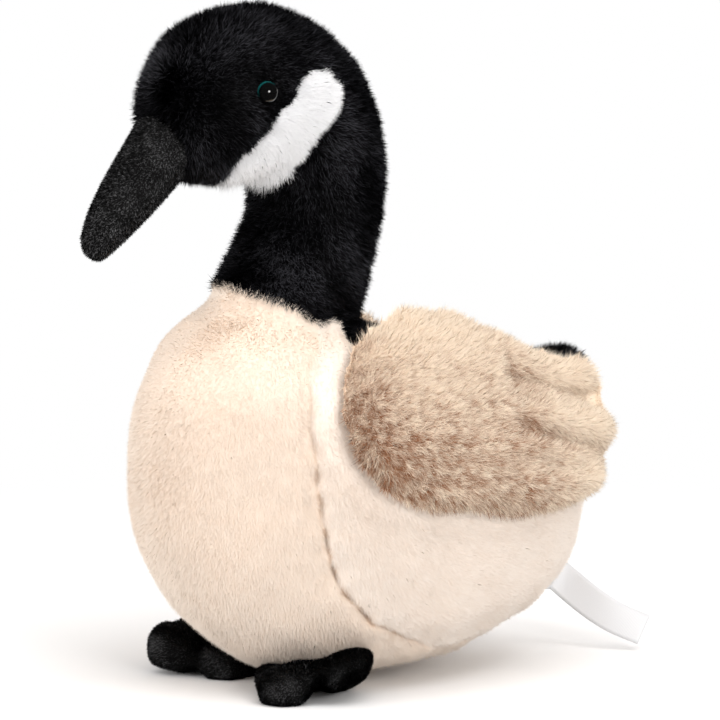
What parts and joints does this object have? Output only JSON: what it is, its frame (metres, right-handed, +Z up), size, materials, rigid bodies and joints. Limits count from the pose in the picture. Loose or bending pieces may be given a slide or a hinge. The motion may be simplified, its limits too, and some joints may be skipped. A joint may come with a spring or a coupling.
{
  "type": "plush goose",
  "caption": "Seated plush goose with black head and neck, white cheek bands, cream body, folded brown wings, soft beak and feet, resting flat on its belly.",
  "frame": {"origin": "middle of the flat underside of the belly, on the ground", "axes": "+Z up from the belly, the goose faces -Y and its left side is +X"},
  "size_m": [0.1688, 0.2749, 0.294],
  "materials": {
    "black_pile": "soft medium pile",
    "cream_pile": "soft short pile",
    "pale_cream_pile": "soft short pile",
    "white_pile": "soft medium pile",
    "black_velour": "short velour",
    "frosted_pile": "long frosted pile, brown with pale tips",
    "lining_cloth": "plain knitted cloth",
    "polyester_fibre": "loose fibre",
    "glossy_eye": "polished",
    "washer_plastic": "moulded",
    "white_satin": "satin ribbon"
  },
  "bodies": {
    "root": {"back_panel": "black_pile", "beak_filling": "polyester_fibre", "beak_lower": "black_velour", "beak_upper": "black_velour", "body_head_filling": "polyester_fibre", "breast_belly_panel": "cream_pile", "care_ribbon": "white_satin", "cheek_patch_left": "white_pile", "cheek_patch_right": "white_pile", "eye_left": "glossy_eye", "eye_right": "glossy_eye", "eye_washer_left": "washer_plastic", "eye_washer_right": "washer_plastic", "foot_filling_left": "polyester_fibre", "foot_filling_right": "polyester_fibre", "foot_sole_left": "black_velour", "foot_sole_right": "black_velour", "foot_top_left": "black_velour", "foot_top_right": "black_velour", "neck_head_left": "black_pile", "neck_head_right": "black_pile", "side_panel_left": "pale_cream_pile", "side_panel_right": "pale_cream_pile", "tail_filling": "polyester_fibre", "tail_top": "black_pile", "tail_underside": "pale_cream_pile", "wing_filling_left": "polyester_fibre", "wing_filling_right": "polyester_fibre", "wing_lining_left": "lining_cloth", "wing_lining_right": "lining_cloth", "wing_top_left": "frosted_pile", "wing_top_right": "frosted_pile"}
  },
  "joints": []
}
